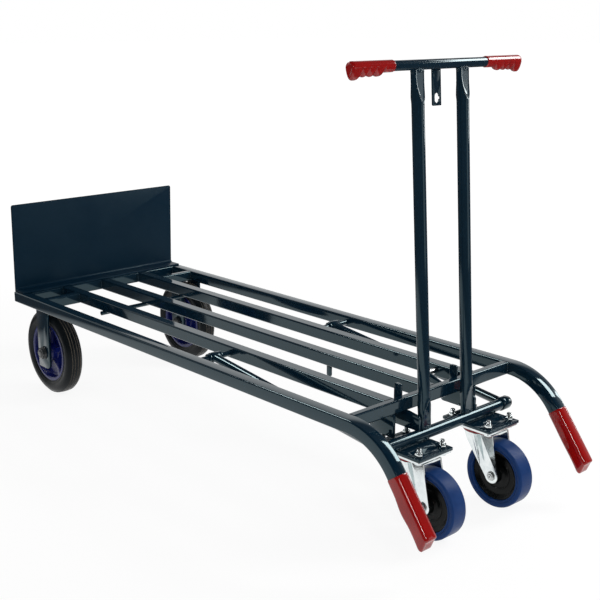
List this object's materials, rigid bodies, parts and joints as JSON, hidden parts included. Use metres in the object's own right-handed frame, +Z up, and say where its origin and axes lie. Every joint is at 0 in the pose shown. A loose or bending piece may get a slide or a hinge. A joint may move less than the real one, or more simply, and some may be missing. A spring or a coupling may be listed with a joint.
{
  "type": "platform truck",
  "caption": "Convertible platform truck: slatted tube deck with an upright toe plate, fixed wheels, swivel castors under a folding T-handle frame, and bent rail grips.",
  "frame": {"origin": "on the floor under the middle of the bounding box, in the rest pose of the picture", "axes": "+X along the deck from the toe plate to the handle, +Y across to the right-hand side of someone pushing at the handle, +Z up"},
  "size_m": [1.3258, 0.4806, 0.8095],
  "materials": {
    "frame_paint": "gloss",
    "red_grip": "gloss",
    "bright_zinc": "bright zinc",
    "black_tyre": "matt",
    "blue_rim": "satin",
    "blue_tyre": "satin",
    "black_plastic": "satin"
  },
  "bodies": {
    "main_frame": {"side_rail_left": "frame_paint", "side_rail_right": "frame_paint", "deck_bar_left": "frame_paint", "deck_bar_middle": "frame_paint", "deck_bar_right": "frame_paint", "toe_cross_tube": "frame_paint", "handle_cross_tube": "frame_paint", "wheel_cross_tube_left": "frame_paint", "wheel_cross_tube_right": "frame_paint", "toe_plate": "frame_paint", "foot_bar": "frame_paint", "wheel_leg_outer_left": "frame_paint", "wheel_leg_outer_right": "frame_paint", "wheel_leg_inner_left": "frame_paint", "wheel_leg_inner_right": "frame_paint", "wheel_axle_bolts": "bright_zinc", "wheel_axle_nuts": "bright_zinc", "rail_end_plugs": "black_plastic", "rail_grip_left": "red_grip", "rail_grip_right": "red_grip", "stay_axles": "frame_paint", "stay_collars": "frame_paint", "hook_catch": "frame_paint", "frame_gusset_left": "frame_paint", "frame_gusset_right": "frame_paint", "latch_pin": "bright_zinc"},
    "stays": {"stay_left": "frame_paint", "stay_right": "frame_paint"},
    "castor_frame": {"castor_cross_tube": "frame_paint", "cross_tube_plugs": "black_plastic", "upright_left": "frame_paint", "upright_right": "frame_paint", "handle_bar": "frame_paint", "handle_grip_left": "red_grip", "handle_grip_right": "red_grip", "hook_plate": "frame_paint", "cradle_left": "frame_paint", "cradle_right": "frame_paint", "castor_mount_plate_left": "frame_paint", "castor_mount_plate_right": "frame_paint", "castor_plate_left": "bright_zinc", "castor_plate_right": "bright_zinc", "castor_bolts": "bright_zinc", "castor_nuts": "bright_zinc", "castor_kingpins": "bright_zinc"},
    "latch": {"latch_lever": "frame_paint"},
    "wheel_left": {"wheel_tyre_left": "black_tyre", "wheel_rim_left": "blue_rim"},
    "castor_swivel_left": {"castor_fork_left": "bright_zinc", "castor_seal_left": "red_grip", "castor_axle_left": "bright_zinc"},
    "castor_wheel_left": {"castor_tyre_left": "blue_tyre", "castor_hub_left": "black_plastic"},
    "wheel_right": {"wheel_tyre_right": "black_tyre", "wheel_rim_right": "blue_rim"},
    "castor_swivel_right": {"castor_fork_right": "bright_zinc", "castor_seal_right": "red_grip", "castor_axle_right": "bright_zinc"},
    "castor_wheel_right": {"castor_tyre_right": "blue_tyre", "castor_hub_right": "black_plastic"}
  },
  "joints": [
    {"name": "stay_swing", "type": "hinge", "parent": "main_frame", "child": "stays", "pos_m": [0.03775, 0, 0.2195], "axis": [0, 1, 0], "range_deg": [0, 65]},
    {"name": "handle_frame_turn", "type": "hinge", "parent": "stays", "child": "castor_frame", "pos_m": [0.49962, 0, 0.1661], "axis": [0, 1, 0], "range_deg": [-20.2, 0]},
    {"name": "latch_swing", "type": "hinge", "parent": "main_frame", "child": "latch", "pos_m": [0.38875, 0.065, 0.2195], "axis": [0, 1, 0], "range_deg": [0, 30]},
    {"name": "wheel_left_roll", "type": "hinge", "parent": "main_frame", "child": "wheel_left", "pos_m": [-0.5489, -0.196, 0.1015], "axis": [0, 1, 0], "continuous": true},
    {"name": "castor_left_swivel", "type": "hinge", "parent": "castor_frame", "child": "castor_swivel_left", "pos_m": [0.50362, -0.0945, 0.1365], "axis": [0, 0, 1], "continuous": true},
    {"name": "castor_left_roll", "type": "hinge", "parent": "castor_swivel_left", "child": "castor_wheel_left", "pos_m": [0.55162, -0.0945, 0.0625], "axis": [0, 1, 0], "continuous": true},
    {"name": "wheel_right_roll", "type": "hinge", "parent": "main_frame", "child": "wheel_right", "pos_m": [-0.5489, 0.196, 0.1015], "axis": [0, 1, 0], "continuous": true},
    {"name": "castor_right_swivel", "type": "hinge", "parent": "castor_frame", "child": "castor_swivel_right", "pos_m": [0.50362, 0.0945, 0.1365], "axis": [0, 0, 1], "continuous": true},
    {"name": "castor_right_roll", "type": "hinge", "parent": "castor_swivel_right", "child": "castor_wheel_right", "pos_m": [0.55162, 0.0945, 0.0625], "axis": [0, 1, 0], "continuous": true}
  ],
  "couplings": [
    {"joint": "handle_frame_turn", "follows": "stay_swing", "ratio": -0.31}
  ]
}
